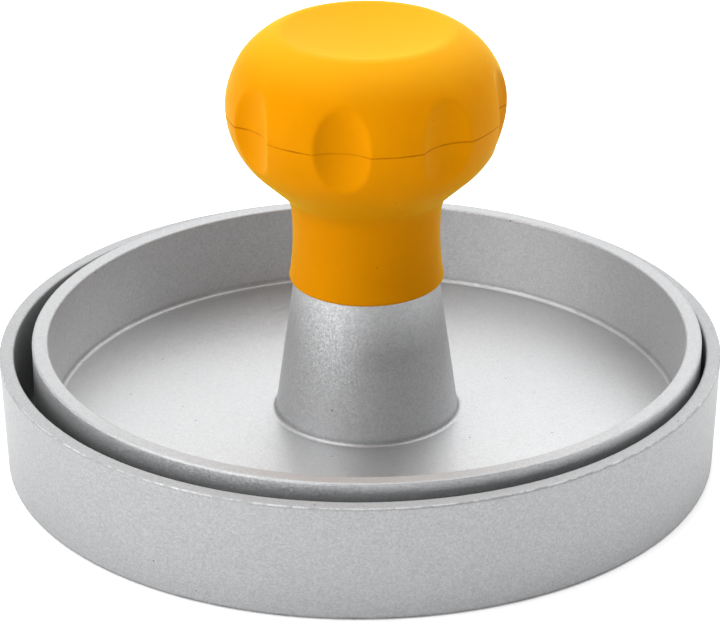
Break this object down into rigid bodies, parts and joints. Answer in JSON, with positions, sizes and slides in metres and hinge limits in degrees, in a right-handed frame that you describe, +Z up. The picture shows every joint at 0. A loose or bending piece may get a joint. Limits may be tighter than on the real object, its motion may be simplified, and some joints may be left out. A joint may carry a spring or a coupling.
{
  "type": "patty press",
  "caption": "Round cast dish with a loose flat plunger; a scalloped, dish-topped knob on the plunger's cone hub presses a ball of meat into a flat patty.",
  "frame": {"origin": "centre of the dish's flat underside, on the surface it stands on", "axes": "+Z up along the dish's axis; +X is the side that the plunger lies nearer to; -Y faces the viewer"},
  "size_m": [0.125, 0.125, 0.0772],
  "materials": {
    "dish_casting": "fine blasted casting, matte silver",
    "plunger_casting": "fine blasted casting, matte silver",
    "insert_brass": "turned, ribbed outside",
    "knob_plastic": "matte soft-touch orange-yellow",
    "fastener_steel": "zinc-plated steel"
  },
  "bodies": {
    "dish": {"dish": "dish_casting"},
    "plunger": {"plunger": "plunger_casting", "hub_insert": "insert_brass", "knob_grip": "knob_plastic", "knob_cap": "knob_plastic", "handle_screw": "fastener_steel", "flat_washer": "fastener_steel", "lock_washer": "fastener_steel"}
  },
  "joints": [
    {"name": "press_lift", "type": "slide", "parent": "dish", "child": "plunger", "axis": [0, 0, 1], "range_m": [0, 0.05]}
  ]
}
